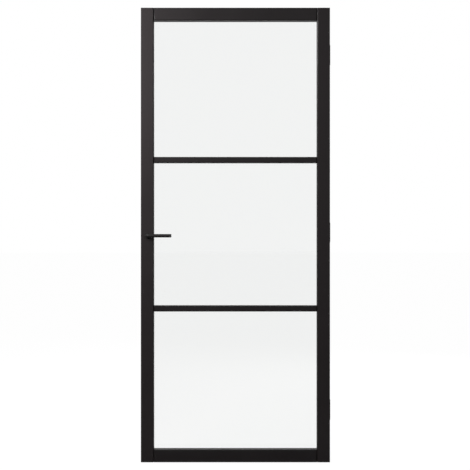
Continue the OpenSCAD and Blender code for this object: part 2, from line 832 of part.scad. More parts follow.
// The screws in the leaf's own hinge plates
module hinge_screws() {
    head_x = plate_mid_x - plates_gap / 2 - 0.1;
    sink = (hinge_sink_d - leaf_hole_d) / 2;
    color(hardware_black) for (z = hinge_z) for (p = plate_screws())
        translate([0, p[0], z + p[1]]) difference() {
            union() {
                rod_x(hinge_screw_d / 2, head_x - hinge_screw_l, head_x - 0.5);
                translate([head_x - sink, 0, 0]) rotate([0, 90, 0])
                    cylinder(d1 = hinge_screw_d, d2 = hinge_sink_d - 0.4, h = sink);
            }
            mirror([1, 0, 0]) cross_recess(-head_x, hinge_screw_d * 0.6);
        }
}

// ---- nodes ----

place() stile_lock();
place() stile_hinge();
place() rail_top();
place() rail_bottom();
place() bar_upper();
place() bar_lower();
place() frame_dowels();

for (i = [0:2]) {
    place() glass(i);
    place() glazing_tape(i);
    for (side = [0:3])
        place() bead(i, side);
}
place() setting_blocks();
place() bead_pins();

place() lock_forend();
place() lock_case();
place() lock_cover();
place() lock_case_screws();
place() lock_forend_screws();
place() lock_follower();
place() follower_spring();
place() latch_bolt();
place() latch_magnet();
place() latch_spring();

place() lever(false);  // lever_front
place() lever(true);  // lever_rear
place() spindle();
place() lever_grub_screws();
place() rosette(false);  // rosette_front
place() rosette(true);  // rosette_rear
place() rosette_base(false);  // rosette_base_front
place() rosette_base(true);  // rosette_base_rear
place() rosette_screws();
place() lever_bushes();

for (i = [0:2]) {
    place() hinge_plate(hinge_z[i], 1);
    place() hinge_plate(hinge_z[i], -1);
    place() hinge_pin(hinge_z[i]);
}
place() hinge_rings();
place() hinge_screws();
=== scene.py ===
"""Glazed interior door leaf: its finishes, eased joinery, threaded fasteners and a white studio."""
import logging
import math
from collections.abc import Iterable
from dataclasses import dataclass
from enum import Enum

import bmesh
import bpy
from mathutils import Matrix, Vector


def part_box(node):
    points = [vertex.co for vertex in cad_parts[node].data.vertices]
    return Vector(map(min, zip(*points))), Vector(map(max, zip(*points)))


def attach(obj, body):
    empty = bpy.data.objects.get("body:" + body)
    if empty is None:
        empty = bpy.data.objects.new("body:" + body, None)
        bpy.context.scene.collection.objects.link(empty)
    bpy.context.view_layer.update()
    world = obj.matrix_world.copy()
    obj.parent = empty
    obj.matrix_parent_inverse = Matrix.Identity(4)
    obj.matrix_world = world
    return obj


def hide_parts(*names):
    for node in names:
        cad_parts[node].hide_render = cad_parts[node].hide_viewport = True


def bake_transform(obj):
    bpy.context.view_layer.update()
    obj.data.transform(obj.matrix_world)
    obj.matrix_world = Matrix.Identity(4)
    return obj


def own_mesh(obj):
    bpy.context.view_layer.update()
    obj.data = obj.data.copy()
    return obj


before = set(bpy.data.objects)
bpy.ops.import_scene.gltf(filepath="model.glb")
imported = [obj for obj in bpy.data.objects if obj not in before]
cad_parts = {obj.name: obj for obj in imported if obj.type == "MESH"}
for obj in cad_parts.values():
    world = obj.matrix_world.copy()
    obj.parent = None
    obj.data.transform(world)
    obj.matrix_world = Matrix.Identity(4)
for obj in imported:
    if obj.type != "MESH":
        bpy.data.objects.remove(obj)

log = logging.getLogger("glazed_door")
MM = 0.001
WELD = 1e-6
NOISE_LOW, NOISE_HIGH = 0.3, 0.7
Corners = tuple[Vector, Vector]


# ---- small tools ----


def linear(colour: str) -> tuple[float, float, float, float]:
    """Turns an sRGB hex colour into linear light.

    Args:
        colour: Six hex digits after a hash.

    Returns:
        Red, green, blue and an alpha of one.
    """
    values = [int(colour[i:i + 2], 16) / 255 for i in (1, 3, 5)]
    red, green, blue = (v / 12.92 if v <= 0.04045 else ((v + 0.055) / 1.055) ** 2.4 for v in values)
    return red, green, blue, 1.0


def add(
    tree: bpy.types.NodeTree, kind: str, sockets: dict | None = None, **settings: str,
) -> bpy.types.Node:
    """Adds a node to a tree.

    Args:
        tree: The shader or geometry tree that gets the node.
        kind: The node's type.
        sockets: Inputs by name or index, each a value or another node's output.
        settings: The node's own properties.

    Returns:
        The new node.
    """
    made = tree.nodes.new(kind)
    for name, value in settings.items():
        setattr(made, name, value)
    for name, value in (sockets or {}).items():
        if isinstance(value, bpy.types.NodeSocket):
            tree.links.new(value, made.inputs[name])
        else:
            made.inputs[name].default_value = value
    return made


def noise(
    tree: bpy.types.NodeTree, place: bpy.types.NodeSocket, patch_mm: float, detail: float = 2.0,
    distortion: float = 0.0,
) -> bpy.types.NodeSocket:
    """Cloudy noise.

    Args:
        tree: The material's tree.
        place: Where the noise is read.
        patch_mm: How wide its patches are, roughly.
        detail: How many finer layers lie on it.
        distortion: How far its patches are bent.

    Returns:
        A socket with values about one half.
    """
    return add(tree, "ShaderNodeTexNoise", {
        "Vector": place, "Scale": 1 / (patch_mm * MM), "Detail": detail, "Distortion": distortion,
    }).outputs[0]


def mixed(
    tree: bpy.types.NodeTree, share: bpy.types.NodeSocket, first: Iterable[float], second: Iterable[float],
) -> bpy.types.NodeSocket:
    """Mixes two colours, where a share of one is all of the second."""
    return add(tree, "ShaderNodeMix", {0: share, 6: first, 7: second}, data_type="RGBA").outputs[2]


def link_object(name: str, mesh: bpy.types.Mesh) -> bpy.types.Object:
    """Puts a mesh in the scene under a name, at the origin."""
    made = bpy.data.objects.new(name, mesh)
    bpy.context.scene.collection.objects.link(made)
    return made


def merged(node: str) -> bmesh.types.BMesh:
    """A copy of a CAD node's mesh whose loose triangles are joined up again."""
    shape = bmesh.new()
    shape.from_mesh(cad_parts[node].data)
    bmesh.ops.remove_doubles(shape, verts=shape.verts, dist=WELD)
    return shape


def solids(node: str) -> list[Corners]:
    """Finds the separate solids of a CAD node.

    Args:
        node: The node's name.

    Returns:
        The lowest and highest corners of each solid, in a fixed order.
    """
    shape = merged(node)
    left, found = set(shape.verts), []
    while left:
        edge = [left.pop()]
        island = list(edge)
        while edge:
            near = {e.other_vert(v) for v in edge for e in v.link_edges} & left
            left -= near
            edge = list(near)
            island += edge
        low, high = (Vector(pick(v.co[i] for v in island) for i in range(3)) for pick in (min, max))
        found.append((low, high))
    shape.free()
    return sorted(found, key=lambda pair: tuple(round(v, 5) for v in pair[0]))


def smooth(mesh: bpy.types.Mesh, degrees: float = 32.0) -> None:
    """Shades a mesh smooth, except across edges sharper than the angle."""
    mesh.shade_smooth()
    mesh.set_sharp_from_angle(angle=math.radians(degrees))


def keep_result(made: bpy.types.Object) -> None:
    """Turns what an object's modifiers make of it into its own plain mesh."""
    graph = bpy.context.evaluated_depsgraph_get()
    result = bpy.data.meshes.new_from_object(made.evaluated_get(graph), depsgraph=graph)
    made.modifiers.clear()
    made.data = result
    result.name = made.name


# ---- finishes ----


@dataclass(frozen=True)
class Finish:
    """What each finish has: its material's name, the record's slot, which this script doesn't read, and the
    shader's plain values.
    """

    name: str
    slot: str
    colour: str
    roughness: float
    metallic: float = 0.0
    ior: float = 1.5
    grain_mm: float = 1.0
    grain_height_mm: float = 0.01
    drift_mm: float = 150.0
    drift: float = 0.04
    tone_drift: float = 0.08

    def material(self) -> bpy.types.Material:
        """The finish's material, built the first time it is asked for."""
        return bpy.data.materials.get(self.name) or self.build()

    def build(self) -> bpy.types.Material:
        """Builds the material: plain values first, then the finish's own detail."""
        made = bpy.data.materials.new(self.name)
        made.use_nodes = True
        shader = made.node_tree.nodes["Principled BSDF"]
        shader.inputs["Base Color"].default_value = linear(self.colour)
        shader.inputs["Roughness"].default_value = self.roughness
        shader.inputs["Metallic"].default_value = self.metallic
        shader.inputs["IOR"].default_value = self.ior
        self.detail(made.node_tree, shader)
        return made

    def detail(self, tree: bpy.types.NodeTree, shader: bpy.types.Node) -> None:
        """Adds a fine grain as bump, and a slow drift of roughness and tone over the surface.

        Args:
            tree: The material's tree.
            shader: Its Principled node.
        """
        place = add(tree, "ShaderNodeTexCoord").outputs["Object"]
        grain = self.grain(tree, place)
        slow = noise(tree, place, self.drift_mm, detail=3.0)
        rough = add(tree, "ShaderNodeMapRange", {
            "Value": slow, "From Min": NOISE_LOW, "From Max": NOISE_HIGH,
            "To Min": self.roughness - self.drift, "To Max": self.roughness + self.drift,
        })
        tree.links.new(rough.outputs["Result"], shader.inputs["Roughness"])
        tree.links.new(self.tone(tree, place, slow), shader.inputs["Base Color"])
        bump = add(tree, "ShaderNodeBump", {
            "Height": grain, "Distance": self.grain_height_mm * MM, "Strength": 1.0,
        })
        tree.links.new(bump.outputs["Normal"], shader.inputs["Normal"])

    def grain(self, tree: bpy.types.NodeTree, place: bpy.types.NodeSocket) -> bpy.types.NodeSocket:
        """The height of the finest pattern, which a finish may replace with its own."""
        return noise(tree, place, self.grain_mm)

    def tone(
        self, tree: bpy.types.NodeTree, place: bpy.types.NodeSocket, slow: bpy.types.NodeSocket,
    ) -> bpy.types.NodeSocket:
        """Lightens and darkens the colour a little with the slow pattern.

        Args:
            tree: The material's tree.
            place: Where the pattern is read; not used by this plain tone.
            slow: The slow pattern, about one half on average.

        Returns:
            The colour.
        """
        red, green, blue, alpha = linear(self.colour)
        shades = (1 - self.tone_drift, 1 + self.tone_drift)
        darker, lighter = ((red * shade, green * shade, blue * shade, alpha) for shade in shades)
        return mixed(tree, slow, darker, lighter)


@dataclass(frozen=True)
class Foam(Finish):
    """Closed-cell foam: cut cells make a matt, pitted face."""

    def grain(self, tree: bpy.types.NodeTree, place: bpy.types.NodeSocket) -> bpy.types.NodeSocket:
        """Round cells of the grain's size."""
        scale = 1 / (self.grain_mm * MM)
        return add(tree, "ShaderNodeTexVoronoi", {"Vector": place, "Scale": scale}).outputs["Distance"]


@dataclass(frozen=True)
class Brushed(Finish):
    """Metal with the lines of its rolling or turning, drawn out along one axis."""

    stretch: tuple[float, float, float] = (1.0, 1.0, 0.04)

    def grain(self, tree: bpy.types.NodeTree, place: bpy.types.NodeSocket) -> bpy.types.NodeSocket:
        """Noise that is stretched into lines."""
        return noise(tree, self.along(tree, place), self.grain_mm, detail=4.0)

    def along(self, tree: bpy.types.NodeTree, place: bpy.types.NodeSocket) -> bpy.types.NodeSocket:
        """The place, drawn out along the lines."""
        return add(tree, "ShaderNodeMapping", {"Vector": place, "Scale": self.stretch}).outputs[0]


@dataclass(frozen=True)
class Timber(Brushed):
    """Bare turned beech: fine pores along the grain and darker growth bands."""

    band: str = "#A97F50"
    pores_per_band: float = 3.0
    band_bend: float = 1.5

    def tone(
        self, tree: bpy.types.NodeTree, place: bpy.types.NodeSocket, slow: bpy.types.NodeSocket,
    ) -> bpy.types.NodeSocket:
        """Mixes the darker band colour in along the grain.

        Args:
            tree: The material's tree.
            place: Where the bands are read.
            slow: The slow pattern, which timber leaves to the roughness.

        Returns:
            The colour.
        """
        width_mm = self.pores_per_band * self.grain_mm
        bands = noise(tree, self.along(tree, place), width_mm, distortion=self.band_bend)
        return mixed(tree, bands, linear(self.colour), linear(self.band))


@dataclass(frozen=True)
class FloatGlass(Finish):
    """Clear float glass: flat and flawless, with a cool grey-green cast that grows with its depth."""

    depth_colour: str = "#CDD3D0"
    density: float = 45.0

    def detail(self, tree: bpy.types.NodeTree, shader: bpy.types.Node) -> None:
        """Makes the shader let light through and tints it by depth.

        Args:
            tree: The material's tree.
            shader: Its Principled node.
        """
        shader.inputs["Transmission Weight"].default_value = 1.0
        tint = add(tree, "ShaderNodeVolumeAbsorption", {
            "Color": linear(self.depth_colour), "Density": self.density,
        })
        tree.links.new(tint.outputs[0], tree.nodes["Material Output"].inputs["Volume"])


class Finishes(Enum):
    """Every finish on the door."""

    # Water-based satin lacquer rolled and sprayed on timber: warm black with a soft sheen, drawn out
    # a little across the length of each member by the filled grain beneath. The pores of 0.3 mm are
    # drawn at 0.9 mm, so that they show
    UPRIGHT_LACQUER = Brushed(
        "satin_black_lacquer_upright", "frame_lacquer", "#2B2728", 0.38, grain_mm=0.9,
        grain_height_mm=0.03, drift_mm=180.0, drift=0.03, stretch=(1.0, 1.0, 0.03),
    )
    # The level members get the same lacquer painted a shade darker (#282526 against #2B2728). This is painted
    # shade standing in for the weaker sheen that rails, bars and level beads catch from the upper left.
    LEVEL_LACQUER_SHADED = Brushed(
        "satin_black_lacquer_level_shaded", "frame_lacquer", "#282526", 0.33, grain_mm=0.9,
        grain_height_mm=0.03, drift_mm=180.0, drift=0.03, stretch=(0.03, 1.0, 1.0),
    )
    # Polyester powder coat, cured in an oven: a matt black, slightly pebbled skin. Its grit of 0.3 mm
    # is drawn at 0.7 mm, so that it shows
    POWDER = Finish(
        "matt_black_powder_coat", "black_hardware", "#272626", 0.62, grain_mm=0.7,
        grain_height_mm=0.012, drift_mm=25.0,
    )
    # Clear toughened float glass, 5 mm: it shows what is behind it, a little darker and cooler
    GLASS = FloatGlass("clear_float_glass", "glass", "#FFFFFF", 0.0, ior=1.52)
    # Closed-cell foam glazing tape: matt charcoal with cut cells
    TAPE = Foam(
        "foam_glazing_tape", "tape", "#1B1B1B", 0.9, grain_mm=0.5, grain_height_mm=0.05, drift_mm=12.0,
    )
    # Moulded hard rubber: dull black with the faint texture of its mould
    RUBBER = Finish(
        "moulded_hard_rubber", "setting_block", "#201F1F", 0.7, grain_mm=0.4, grain_height_mm=0.02,
        drift_mm=15.0,
    )
    # Kiln-dried beech, turned and fluted: pale brown with fine pores along X
    BEECH = Timber(
        "bare_turned_beech", "beech", "#C9A06C", 0.62, grain_mm=0.6, grain_height_mm=0.03,
        drift_mm=9.0, stretch=(0.06, 1.0, 1.0),
    )
    # Bright zinc plate over rolled or die-cast metal: cool grey lustre, clouded here and there
    ZINC = Brushed(
        "bright_zinc_plate", "zinc_steel", "#C3C8CE", 0.3, metallic=1.0, grain_mm=0.35,
        grain_height_mm=0.004, drift_mm=7.0, drift=0.08,
    )
    # Drawn spring wire: darker than plated steel, with a grain too fine to see apart
    SPRING_WIRE = Finish(
        "drawn_spring_wire", "zinc_steel", "#9A9DA2", 0.28, metallic=1.0, grain_mm=0.2,
        grain_height_mm=0.002, drift_mm=3.0,
    )
    # Moulded nylon: creamy white, waxy
    NYLON = Finish(
        "moulded_nylon", "nylon", "#E6E3D8", 0.42, ior=1.53, grain_mm=0.5, grain_height_mm=0.006,
        drift_mm=8.0,
    )
    # Bright nickel plate on a sintered magnet: mirror-like with a soft grain beneath
    NICKEL = Finish(
        "bright_nickel_plate", "magnet", "#D2CDC2", 0.14, metallic=1.0, grain_mm=0.3,
        grain_height_mm=0.002, drift_mm=4.0, drift=0.03,
    )


# ---- pieces ----


class Body(Enum):
    """The CAD bodies that pieces ride on."""

    JAMB = "jamb_side"
    LEAF = "leaf"
    HANDLE = "handle"
    LATCH = "latch"


def dress(nodes: Iterable[str], finish: Finishes) -> None:
    """Gives CAD nodes that stay as they are a finish."""
    for name in nodes:
        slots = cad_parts[name].data.materials
        slots.clear()
        slots.append(finish.value.material())
        log.info("%s: %s", name, finish.value.name)


def settle(piece: bpy.types.Object, body: Body | None, finish: Finishes, *replaced: str) -> bpy.types.Object:
    """Finishes a new piece and hands it to its body.

    Args:
        piece: The piece, at the origin with no modifier left on it.
        body: The body that it rides on, or None for a piece that rides on no body.
        finish: Its finish.
        replaced: The CAD nodes that it stands for.

    Returns:
        The same piece.
    """
    piece.data.materials.clear()
    piece.data.materials.append(finish.value.material())
    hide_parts(*replaced)
    if body:
        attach(piece, body.value)
    log.info("%s: %d faces, %s", piece.name, len(piece.data.polygons), finish.value.name)
    return piece


@dataclass(frozen=True)
class Easing:
    """Takes the razor edge off a CAD node, as sanding, casting or stamping does.

    The shortest edge that is eased is given in radii.
    """

    radius_mm: float
    steps: int = 3
    flat_degrees: float = 0.4
    sharp_degrees: float = 25.0
    shortest: float = 6.0

    def piece(self, node: str, body: Body, finish: Finishes) -> bpy.types.Object:
        """Copies a CAD node, rounds its long outer edges and lets the copy stand for it.

        Args:
            node: The CAD node.
            body: The body that it rides on.
            finish: Its finish.

        Returns:
            The eased piece.
        """
        shape = merged(node)
        flat = math.radians(self.flat_degrees)
        bmesh.ops.dissolve_limit(shape, angle_limit=flat, verts=shape.verts, edges=shape.edges)
        bmesh.ops.bevel(
            shape, geom=[edge for edge in shape.edges if self.wants(edge)], offset=self.radius_mm * MM,
            segments=self.steps, profile=0.5, affect="EDGES", clamp_overlap=True,
        )
        mesh = bpy.data.meshes.new(f"{node}_eased")
        shape.to_mesh(mesh)
        shape.free()
        smooth(mesh)
        made = link_object(f"{node}_eased", mesh)
        made.modifiers.new("flat_faces_stay_flat", "WEIGHTED_NORMAL").keep_sharp = True
        keep_result(made)
        return settle(made, body, finish, node)

    def wants(self, edge: bmesh.types.BMEdge) -> bool:
        """True for a long convex edge that is sharp enough to need easing."""
        if len(edge.link_faces) != 2 or not edge.is_convex:
            return False
        long_enough = edge.calc_length() > self.shortest * self.radius_mm * MM
        return long_enough and edge.calc_face_angle() > math.radians(self.sharp_degrees)


class Growth:
    """A geometry node tree that makes one form and repeats it at an object's points."""

    def __init__(self, name: str, *sizes: str) -> None:
        """Starts a tree with a geometry input, a number input for each size and a material input."""
        self.tree = bpy.data.node_groups.new(name, "GeometryNodeTree")
        sockets = self.tree.interface
        sockets.new_socket("Geometry", in_out="OUTPUT", socket_type="NodeSocketGeometry")
        sockets.new_socket("Points", in_out="INPUT", socket_type="NodeSocketGeometry")
        for size in sizes:
            sockets.new_socket(size, in_out="INPUT", socket_type="NodeSocketFloat")
        sockets.new_socket("Finish", in_out="INPUT", socket_type="NodeSocketMaterial")
        self.inputs = add(self.tree, "NodeGroupInput").outputs

    def maths(self, operation: str, *values: float | bpy.types.NodeSocket) -> bpy.types.NodeSocket:
        """One step of arithmetic on numbers or sockets."""
        return add(self.tree, "ShaderNodeMath", dict(enumerate(values)), operation=operation).outputs[0]

    def turned(
        self, radius: bpy.types.NodeSocket, height: bpy.types.NodeSocket, around: bpy.types.NodeSocket,
        grid: bpy.types.Node,
    ) -> bpy.types.NodeSocket:
        """Wraps a grid round the Z axis.

        Args:
            radius: How far each point stands from the axis.
            height: Where it stands along the axis.
            around: Its way round, from 0 to 1.
            grid: The grid to wrap.

        Returns:
            The closed form.
        """
        angle = self.maths("MULTIPLY", around, math.tau)
        x = self.maths("MULTIPLY", radius, self.maths("COSINE", angle))
        y = self.maths("MULTIPLY", radius, self.maths("SINE", angle))
        place = add(self.tree, "ShaderNodeCombineXYZ", {0: x, 1: y, 2: height})
        moved = add(self.tree, "GeometryNodeSetPosition", {
            "Geometry": grid.outputs[0], "Position": place.outputs[0],
        })
        return add(self.tree, "GeometryNodeMergeByDistance", {
            "Geometry": moved.outputs[0], "Distance": WELD,
        }).outputs[0]

    def grid(
        self, sides: int, rows: int,
    ) -> tuple[bpy.types.Node, bpy.types.NodeSocket, bpy.types.NodeSocket]:
        """A grid to wrap, with each point's way round and its way up, both from 0 to 1."""
        made = add(self.tree, "GeometryNodeMeshGrid", {
            "Size X": 1.0, "Size Y": 1.0, "Vertices X": sides + 1, "Vertices Y": rows,
        })
        place = add(self.tree, "GeometryNodeInputPosition").outputs[0]
        split = add(self.tree, "ShaderNodeSeparateXYZ", {0: place}).outputs
        return made, self.maths("ADD", split[0], 0.5), self.maths("ADD", split[1], 0.5)

    def finish_tree(self, form: bpy.types.NodeSocket) -> None:
        """Repeats the form at the points, along their aim, as real geometry with its finish."""
        aim = add(self.tree, "GeometryNodeInputNamedAttribute", {"Name": "aim"}, data_type="FLOAT_VECTOR")
        turn = add(self.tree, "FunctionNodeAlignRotationToVector", {"Vector": aim.outputs[0]}, axis="Z")
        copies = add(self.tree, "GeometryNodeInstanceOnPoints", {
            "Points": self.inputs["Points"], "Instance": form, "Rotation": turn.outputs[0],
        })
        real = add(self.tree, "GeometryNodeRealizeInstances", {"Geometry": copies.outputs[0]})
        dressed = add(self.tree, "GeometryNodeSetMaterial", {
            "Geometry": real.outputs[0], "Material": self.inputs["Finish"],
        })
        add(self.tree, "NodeGroupOutput", {"Geometry": dressed.outputs[0]})

    def grow(
        self, name: str, places: list[tuple[Vector, Vector]], finish: Finishes, **sizes: float,
    ) -> bpy.types.Object:
        """Runs the tree and keeps the result as a plain mesh.

        Args:
            name: The new object's name.
            places: A point and an aim for each copy.
            finish: The finish, for the tree's material input.
            sizes: A value for each of the tree's number inputs, in metres where it is a length.

        Returns:
            An object with no modifier on it.
        """
        mesh = bpy.data.meshes.new(name)
        mesh.from_pydata([point for point, _ in places], [], [])
        aims = mesh.attributes.new("aim", "FLOAT_VECTOR", "POINT")
        for entry, (_, aim) in zip(aims.data, places):
            entry.vector = aim
        made = link_object(name, mesh)
        modifier = made.modifiers.new("grow", "NODES")
        modifier.node_group = self.tree
        values = {**sizes, "Finish": finish.value.material()}
        for item in self.tree.interface.items_tree:
            if item.in_out == "INPUT" and item.name in values:
                modifier[item.identifier] = values[item.name]
        keep_result(made)
        smooth(made.data)
        return made


class Drive(Enum):
    """The recess that a driver turns a fastener by."""

    NONE = 0
    CROSS = 1


class FastenerGrowth(Growth):
    """A countersunk fastener whose ridge winds round a tapering shank, head up at the origin.

    A slot of its cross is given in shank radii, and its width in slot lengths. One slot is cut a little
    deeper than the other, so that their floors don't coincide.
    """

    SLOT_LENGTH = 2.2
    SLOT_WIDTH = 0.22
    DEEPER = 1.02

    def __init__(self, drive: Drive, sides: int = 20, rows: int = 130) -> None:
        """Builds the tree.

        Args:
            drive: The recess in its head.
            sides: Faces round the shank.
            rows: Faces along it.
        """
        super().__init__(
            f"fastener_{drive.name.lower()}", "length", "shank", "head", "sink", "pitch", "ridge", "point",
            "plain", "recess",
        )
        grid, around, up = self.grid(sides, rows)
        size = self.inputs
        risen = self.maths("MINIMUM", self.maths("MULTIPLY", up, (rows - 1) / (rows - 2)), 1.0)
        from_tip = self.maths("MULTIPLY", risen, size["length"])
        height = self.maths("SUBTRACT", from_tip, size["length"])
        taper = self.maths("MINIMUM", self.maths("DIVIDE", from_tip, size["point"]), 1.0)
        turns = self.maths("SUBTRACT", self.maths("DIVIDE", height, size["pitch"]), around)
        wave = self.maths("MULTIPLY", self.maths("PINGPONG", turns, 0.5), 4.0)
        crest = self.maths("MAXIMUM", self.maths("SUBTRACT", wave, 1.0), 0.0)
        threaded = self.maths("LESS_THAN", height, self.maths("MULTIPLY", size["plain"], -1.0))
        ridge = self.maths("MULTIPLY", self.maths("MULTIPLY", crest, size["ridge"]), threaded)
        core = self.maths("SUBTRACT", size["shank"], self.maths("MULTIPLY", size["ridge"], threaded))
        shank = self.maths("MULTIPLY", self.maths("ADD", core, ridge), taper)
        slope = self.maths("DIVIDE", self.maths("SUBTRACT", size["head"], size["shank"]), size["sink"])
        in_head = self.maths("GREATER_THAN", height, self.maths("MULTIPLY", size["sink"], -1.0))
        flare = self.maths("ADD", size["head"], self.maths("MULTIPLY", height, slope))
        cone = self.maths("MULTIPLY", flare, in_head)
        below_top = self.maths("LESS_THAN", up, 1 - 0.5 / (rows - 1))
        radius = self.maths("MULTIPLY", self.maths("MAXIMUM", shank, cone), below_top)
        form = self.turned(radius, height, around, grid)
        if drive is Drive.CROSS:
            for across in (False, True):
                form = add(
                    self.tree, "GeometryNodeMeshBoolean", {"Mesh 1": form, "Mesh 2": self.slot(across)},
                    operation="DIFFERENCE", solver="MANIFOLD",
                ).outputs[0]
        self.finish_tree(form)

    def slot(self, across: bool) -> bpy.types.NodeSocket:
        """One of the two slots of a cross recess, along X or along Y."""
        long = self.maths("MULTIPLY", self.inputs["shank"], self.SLOT_LENGTH)
        sides = [long, self.maths("MULTIPLY", long, self.SLOT_WIDTH)]
        along_x, along_y = reversed(sides) if across else sides
        down = self.maths("MULTIPLY", self.inputs["recess"], 2 * (1.0 if across else self.DEEPER))
        size = add(self.tree, "ShaderNodeCombineXYZ", {0: along_x, 1: along_y, 2: down})
        return add(self.tree, "GeometryNodeMeshCube", {"Size": size.outputs[0]}).outputs[0]


class DowelGrowth(Growth):
    """A fluted dowel with chamfered ends, its middle at the origin."""

    def __init__(self, flutes: int = 16, sides: int = 96, rows: int = 12) -> None:
        """Builds the tree.

        Args:
            flutes: Grooves round the dowel.
            sides: Faces round it.
            rows: Rings of points along it.
        """
        super().__init__("fluted_dowel", "length", "radius", "flute", "chamfer")
        grid, around, up = self.grid(sides, rows)
        size = self.inputs
        row = self.maths("MULTIPLY", up, rows - 1)
        inner = self.maths("DIVIDE", self.maths("SUBTRACT", row, 1.0), rows - 3)
        risen = self.maths("MINIMUM", self.maths("MAXIMUM", inner, 0.0), 1.0)
        height = self.maths("MULTIPLY", self.maths("SUBTRACT", risen, 0.5), size["length"])
        wave = self.maths("COSINE", self.maths("MULTIPLY", around, math.tau * flutes))
        groove = self.maths("MULTIPLY", self.maths("MAXIMUM", wave, 0.0), size["flute"])
        half = self.maths("MULTIPLY", size["length"], 0.5)
        from_end = self.maths("SUBTRACT", half, self.maths("ABSOLUTE", height))
        bevel = self.maths("MAXIMUM", self.maths("SUBTRACT", size["chamfer"], from_end), 0.0)
        wall = self.maths("SUBTRACT", self.maths("SUBTRACT", size["radius"], groove), bevel)
        off_centre = self.maths("ABSOLUTE", self.maths("SUBTRACT", up, 0.5))
        inside = self.maths("LESS_THAN", off_centre, 0.5 - 0.5 / (rows - 1))
        form = self.turned(self.maths("MULTIPLY", wall, inside), height, around, grid)
        self.finish_tree(form)


class CoilGrowth(Growth):
    """A helical spring that starts at the origin."""

    def __init__(self, steps: int = 28, sides: int = 12) -> None:
        """Builds the tree.

        Args:
            steps: Points in each turn of the wire.
            sides: Faces round the wire.
        """
        super().__init__("helical_spring", "length", "radius", "wire", "turns")
        spiral = add(self.tree, "GeometryNodeCurveSpiral", {
            "Resolution": steps, "Rotations": self.inputs["turns"], "Start Radius": self.inputs["radius"],
            "End Radius": self.inputs["radius"], "Height": self.inputs["length"],
        })
        ring = add(self.tree, "GeometryNodeCurvePrimitiveCircle", {
            "Resolution": sides, "Radius": self.inputs["wire"],
        })
        wire = add(self.tree, "GeometryNodeCurveToMesh", {
            "Curve": spiral.outputs[0], "Profile Curve": ring.outputs[0], "Fill Caps": True,
        })
        self.finish_tree(wire.outputs[0])


class RingGrowth(Growth):
    """A bearing ring with rounded edges, its middle at the origin."""

    def __init__(self, steps: int = 48, corner_steps: int = 3) -> None:
        """Builds the tree.

        Args:
            steps: Points round the ring.
            corner_steps: Points on each of its rounded edges.
        """
        super().__init__("bearing_ring", "inner", "outer", "height", "rounding")
        size = self.inputs
        middle = self.maths("MULTIPLY", self.maths("ADD", size["inner"], size["outer"]), 0.5)
        path = add(self.tree, "GeometryNodeCurvePrimitiveCircle", {"Resolution": steps, "Radius": middle})
        section = add(self.tree, "GeometryNodeCurvePrimitiveQuadrilateral", {
            "Width": self.maths("SUBTRACT", size["outer"], size["inner"]), "Height": size["height"],
        })
        eased = add(self.tree, "GeometryNodeFilletCurve", {
            "Curve": section.outputs[0], "Count": corner_steps, "Radius": size["rounding"],
        }, mode="POLY")
        ring = add(self.tree, "GeometryNodeCurveToMesh", {
            "Curve": path.outputs[0], "Profile Curve": eased.outputs[0],
        })
        self.finish_tree(ring.outputs[0])


@dataclass(frozen=True)
class CrossScrew:
    """A countersunk screw with a cross recess: the sizes in millimetres that its CAD solid doesn't give."""

    shank: float
    pitch: float
    ridge: float
    plain: float
    point: float
    recess: float
    rows: int = 90
    least_sink: float = 0.2

    def drive(
        self, node: str, name: str, finish: Finishes, out: Vector, across: int, from_both_faces: bool = False,
    ) -> None:
        """Makes the screws of one CAD node as one piece on the leaf.

        Args:
            node: The CAD node.
            name: The new piece's name.
            finish: Their finish.
            out: The way out of their heads.
            across: The axis that their heads are measured along.
            from_both_faces: True where the screws in the other face of the leaf look the other way.
        """
        axis = max(range(3), key=lambda i: abs(out[i]))
        boxes = solids(node)
        low, high = boxes[0]
        places = []
        for a, b in boxes:
            middle = (a + b) / 2
            aim = -out if from_both_faces and middle.dot(out) < 0 else out
            places.append((middle + aim * (b[axis] - a[axis]) / 2, aim))
        head = (high[across] - low[across]) / 2
        made = FastenerGrowth(Drive.CROSS, rows=self.rows).grow(
            name, places, finish, length=high[axis] - low[axis], shank=self.shank * MM, head=head,
            sink=max(head - self.shank * MM, self.least_sink * MM), pitch=self.pitch * MM,
            ridge=self.ridge * MM, point=self.point * MM, plain=self.plain * MM, recess=self.recess * MM,
        )
        settle(made, Body.LEAF, finish, node)


# ---- sub-assemblies ----


@dataclass
class LeafFrame:
    """The joinery: two stiles, two rails and two glazing bars on fluted dowels."""

    uprights: tuple[str, ...] = ("stile_lock", "stile_hinge")
    levels: tuple[str, ...] = ("rail_top", "rail_bottom", "bar_upper", "bar_lower")
    easing: Easing = Easing(radius_mm=0.4)
    flute_mm: float = 0.35
    chamfer_mm: float = 1.0

    def build(self) -> None:
        """Eases the members and turns the dowels."""
        for name in self.uprights:
            self.easing.piece(name, Body.LEAF, Finishes.UPRIGHT_LACQUER)
        for name in self.levels:
            self.easing.piece(name, Body.LEAF, Finishes.LEVEL_LACQUER_SHADED)
        self.dowels()

    def dowels(self) -> None:
        """Makes the dowels of each diameter as one piece."""
        tree = DowelGrowth()
        sizes: dict[float, list[Corners]] = {}
        for low, high in solids("frame_dowels"):
            sizes.setdefault(round((high.y - low.y) / MM, 1), []).append((low, high))
        for across, boxes in sizes.items():
            places = [((low + high) / 2, Vector((1, 0, 0))) for low, high in boxes]
            low, high = boxes[0]
            made = tree.grow(
                f"dowels_{across:.0f}_mm", places, Finishes.BEECH, length=high.x - low.x,
                radius=across / 2 * MM, flute=self.flute_mm * MM, chamfer=self.chamfer_mm * MM,
            )
            settle(made, Body.LEAF, Finishes.BEECH, "frame_dowels")


